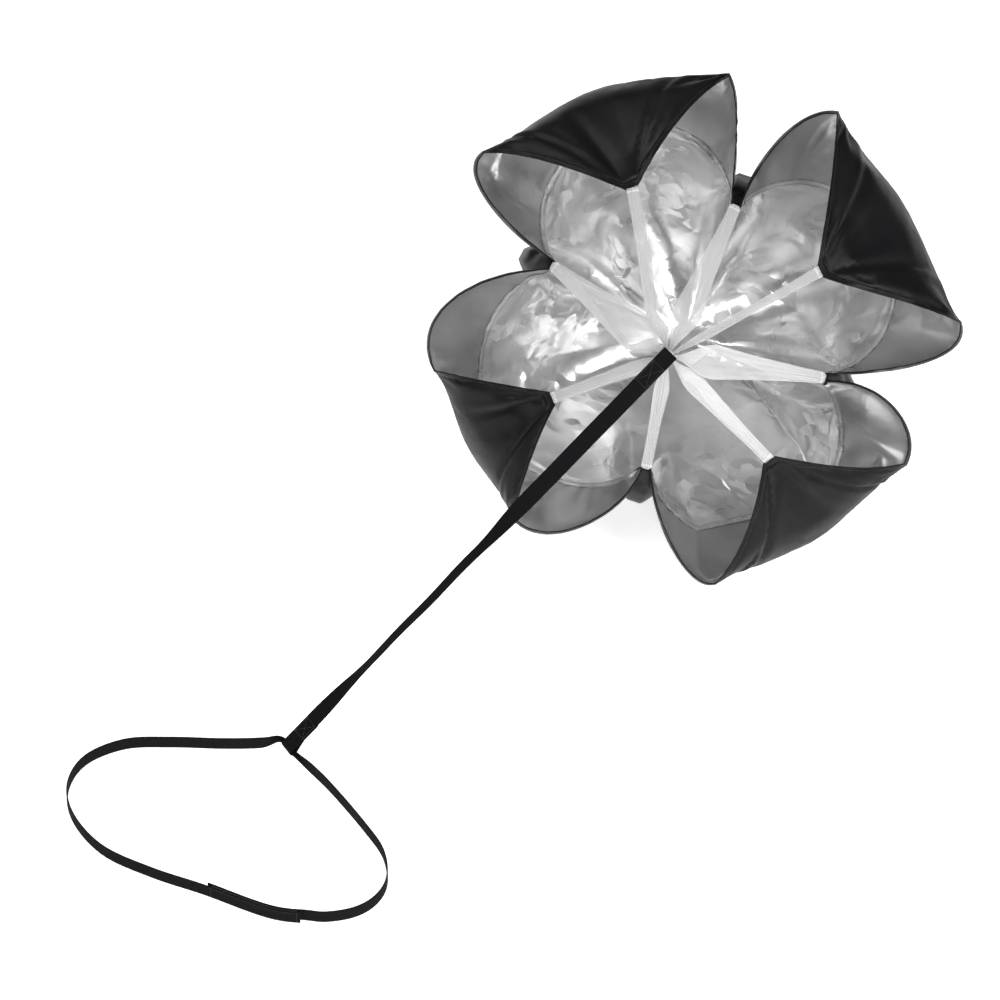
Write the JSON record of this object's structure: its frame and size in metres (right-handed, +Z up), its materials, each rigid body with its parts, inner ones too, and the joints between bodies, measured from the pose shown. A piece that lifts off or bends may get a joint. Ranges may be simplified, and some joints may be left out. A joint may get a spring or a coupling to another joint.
{
  "type": "speed parachute",
  "caption": "Speed parachute: a drawn-in four-lobed canopy on sheer mesh strips that gather at a webbing tow strap, with an adjustable waist belt on its far end.",
  "frame": {"origin": "on the ground, at the middle of the flat patch on which the crown panel rests", "axes": "+Z up; the mouth faces -Y and up, at 40 degrees from upright; the strap and belt lie to -X and -Y"},
  "size_m": [1.3265, 1.2466, 0.5243],
  "materials": {
    "canopy_taffeta": "black taffeta outside, silver coated inside",
    "hem": "folded and stitched taffeta",
    "seam": "felled taffeta seam",
    "mesh": "sheer white polyester mesh",
    "stitched_mesh": "pleated and stitched white mesh",
    "webbing": "matt black woven webbing",
    "hook": "moulded hooks",
    "loop_pile": "brushed loops"
  },
  "bodies": {
    "canopy": {"crown_panel": "canopy_taffeta", "crown_seam_bottom": "seam", "crown_seam_left": "seam", "crown_seam_right": "seam", "crown_seam_top": "seam", "mesh_gather": "stitched_mesh", "mesh_strip_1": "mesh", "mesh_strip_2": "mesh", "mesh_strip_3": "mesh", "mesh_strip_4": "mesh", "mesh_strip_5": "mesh", "mesh_strip_6": "mesh", "mesh_strip_7": "mesh", "mesh_strip_8": "mesh", "rim_hem_bottom": "hem", "rim_hem_left": "hem", "rim_hem_right": "hem", "rim_hem_top": "hem", "side_panel_bottom": "canopy_taffeta", "side_panel_left": "canopy_taffeta", "side_panel_right": "canopy_taffeta", "side_panel_top": "canopy_taffeta", "strip_tab_1": "stitched_mesh", "strip_tab_2": "stitched_mesh", "strip_tab_3": "stitched_mesh", "strip_tab_4": "stitched_mesh", "strip_tab_5": "stitched_mesh", "strip_tab_6": "stitched_mesh", "strip_tab_7": "stitched_mesh", "strip_tab_8": "stitched_mesh"},
    "tow_strap": {"tow_strap": "webbing", "strap_end_patch": "webbing"},
    "waist_belt": {"waist_belt": "webbing", "loop_tape": "loop_pile"},
    "belt_tail": {"belt_tail": "webbing", "hook_tape": "hook"}
  },
  "joints": [
    {"name": "strap_swing", "type": "hinge", "parent": "canopy", "child": "tow_strap", "pos_m": [-0.04017, -0.2329, 0.48162], "axis": [-0.719, 0.5324, 0.4467], "range_deg": [-15, 80]},
    {"name": "belt_turn", "type": "hinge", "parent": "tow_strap", "child": "waist_belt", "pos_m": [-0.59566, -0.58952, 0.0125], "axis": [0.5402, -0.8415, 0], "range_deg": [-60, 60]},
    {"name": "tail_peel", "type": "hinge", "parent": "waist_belt", "child": "belt_tail", "pos_m": [-0.71513, -0.85442, 0.0125], "axis": [0, 0, -1], "range_deg": [0, 100]}
  ]
}
